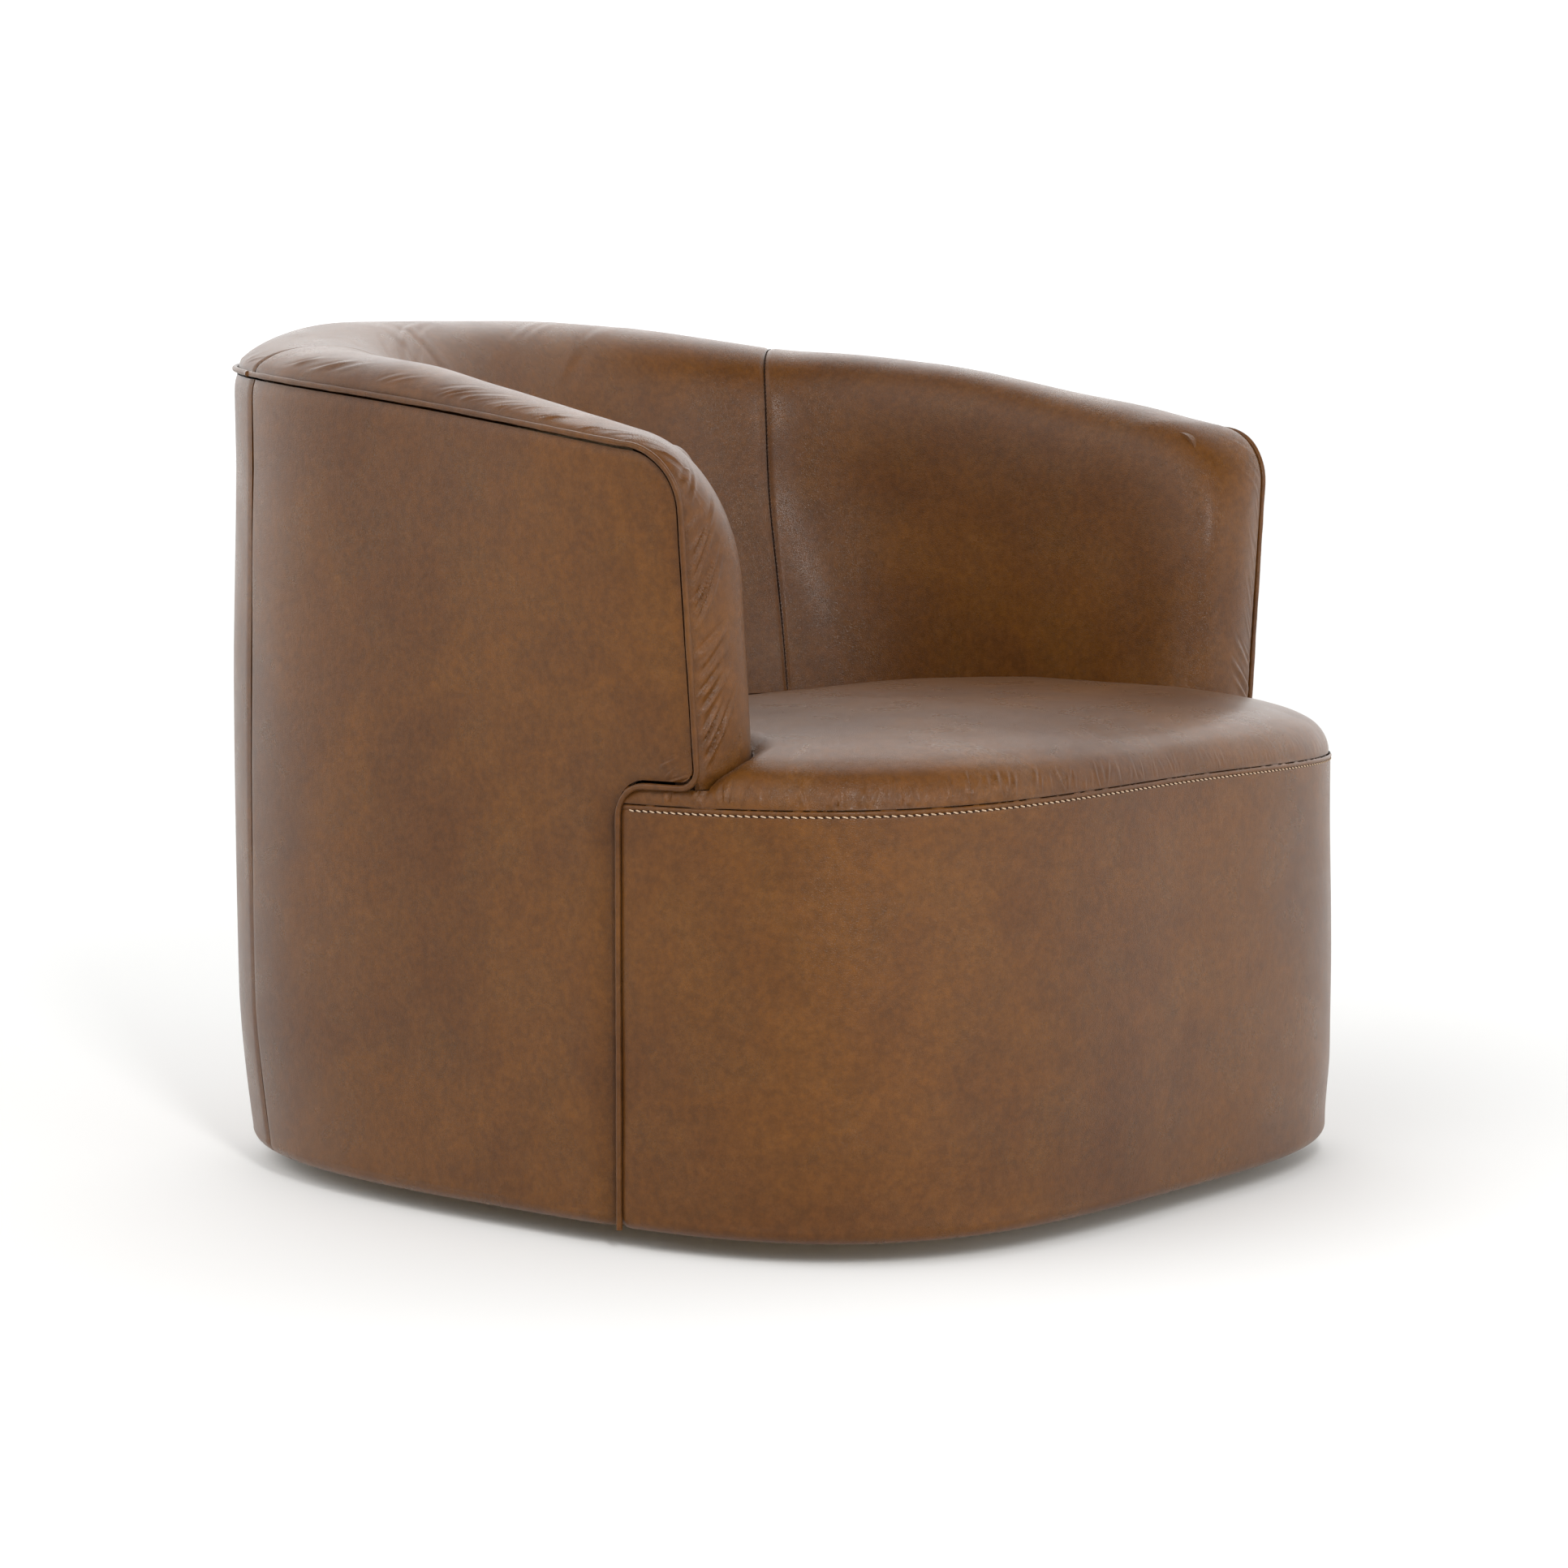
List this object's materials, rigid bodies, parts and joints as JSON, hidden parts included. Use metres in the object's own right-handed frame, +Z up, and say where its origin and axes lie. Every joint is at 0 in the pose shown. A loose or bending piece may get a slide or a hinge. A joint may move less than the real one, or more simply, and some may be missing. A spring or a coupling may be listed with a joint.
{
  "type": "swivel club chair",
  "caption": "Drum-shaped swivel club chair with a wrap-around arm and back shell, rolled piped edge and crowned seat on a ball-bearing swivel plinth.",
  "frame": {"origin": "centre of the chair's outline on the floor, under the middle of its depth", "axes": "+Z up, the sitter faces -Y, +X is the sitter's left"},
  "size_m": [0.892, 0.902, 0.7645],
  "materials": {
    "leather": "satin, waxed full grain, brown",
    "plywood": "raw plywood",
    "timber": "raw beech",
    "plinth_paint": "matte black paint",
    "nylon": "matte",
    "zinc": "zinc plated",
    "spring_steel": "oiled",
    "felt": "pressed felt"
  },
  "bodies": {
    "base": {"plinth": "plinth_paint", "glide_1": "nylon", "glide_2": "nylon", "glide_3": "nylon", "glide_4": "nylon", "glide_5": "nylon", "swivel_plate_lower": "zinc", "ball_ring": "zinc", "king_bolt": "zinc", "king_bolt_washer": "zinc", "king_bolt_nut": "zinc", "plinth_screw_1": "zinc", "plinth_screw_2": "zinc", "plinth_screw_3": "zinc", "plinth_screw_4": "zinc"},
    "chair": {"outer_side_panel_left": "leather", "outer_side_panel_right": "leather", "outer_back_panel": "leather", "front_panel": "leather", "seat_cushion": "leather", "inner_arm_pad_left": "leather", "inner_arm_pad_right": "leather", "inner_back_pad": "leather", "piping_left": "leather", "piping_right": "leather", "piping_back": "leather", "bottom_board": "plywood", "arm_board_left": "plywood", "arm_board_right": "plywood", "side_rail_left": "plywood", "side_rail_right": "plywood", "seat_rail_front": "plywood", "arm_top_rail_left": "plywood", "arm_top_rail_right": "plywood", "back_top_rail": "plywood", "seat_rail_rear": "timber", "front_post_left": "timber", "front_post_right": "timber", "rear_post_left": "timber", "rear_post_right": "timber", "back_post_left": "timber", "back_post_right": "timber", "swivel_plate_upper": "zinc", "chair_screw_1": "zinc", "chair_screw_2": "zinc", "chair_screw_3": "zinc", "chair_screw_4": "zinc", "seat_spring_1": "spring_steel", "seat_spring_2": "spring_steel", "seat_spring_3": "spring_steel", "seat_spring_4": "spring_steel", "spring_clip_front_1": "spring_steel", "spring_clip_front_2": "spring_steel", "spring_clip_front_3": "spring_steel", "spring_clip_front_4": "spring_steel", "spring_clip_rear_1": "spring_steel", "spring_clip_rear_2": "spring_steel", "spring_clip_rear_3": "spring_steel", "spring_clip_rear_4": "spring_steel", "deck_pad": "felt"}
  },
  "joints": [
    {"name": "seat_swivel", "type": "hinge", "parent": "base", "child": "chair", "pos_m": [0, 0, 0.04], "axis": [0, 0, 1], "continuous": true}
  ]
}
